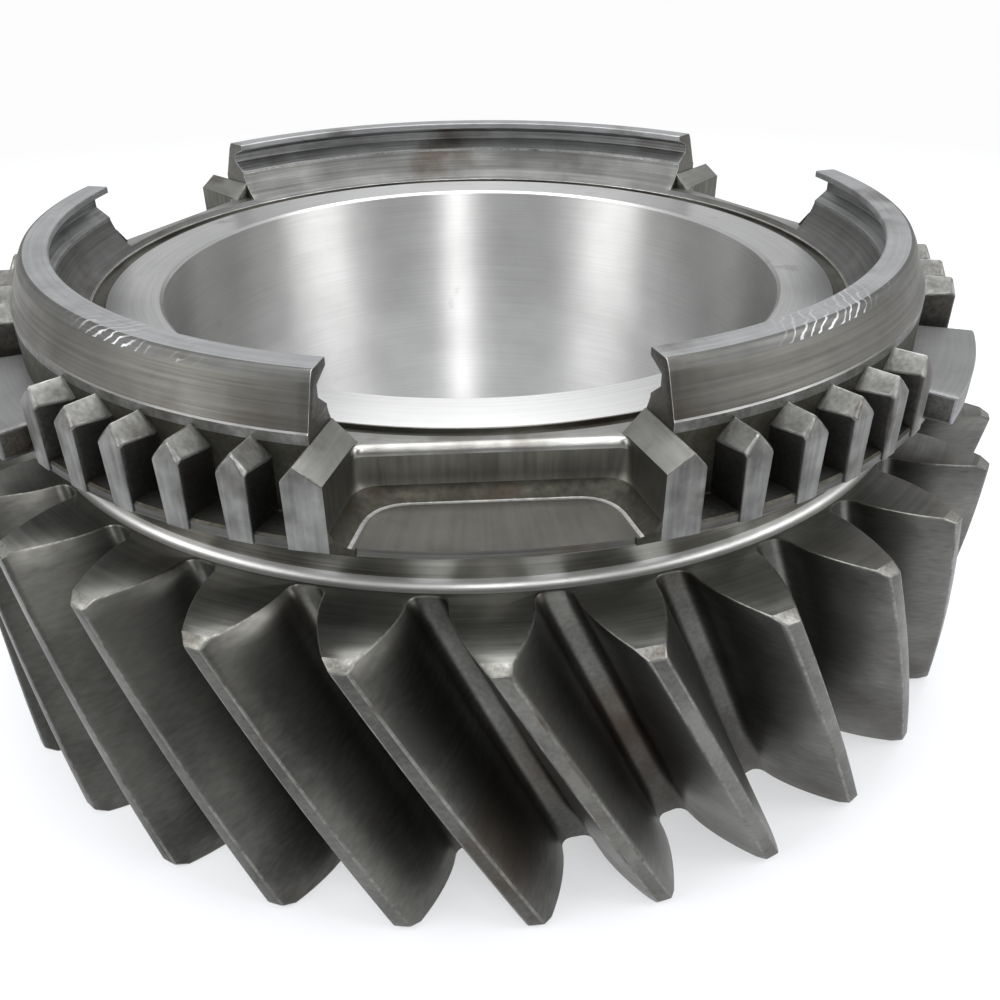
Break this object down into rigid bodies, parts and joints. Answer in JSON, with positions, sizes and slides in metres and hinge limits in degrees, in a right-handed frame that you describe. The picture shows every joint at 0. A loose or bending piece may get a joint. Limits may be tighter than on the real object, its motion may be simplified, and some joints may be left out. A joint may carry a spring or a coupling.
{
  "type": "helical speed gear",
  "caption": "One-piece steel helical gear for a gearbox, with a plain bearing bore, a ring of dog teeth and a synchroniser cup split by lug slots.",
  "frame": {"origin": "on the bore axis, at the lower end face of the helical band", "axes": "+Z along the bore from the helical band to the synchroniser cup; one lug slot faces -Y"},
  "size_m": [0.1144, 0.1144, 0.0472],
  "materials": {
    "gear_steel": "machined and hardened steel, oiled, worn bright on edges"
  },
  "bodies": {
    "root": {"gear": "gear_steel"}
  },
  "joints": []
}
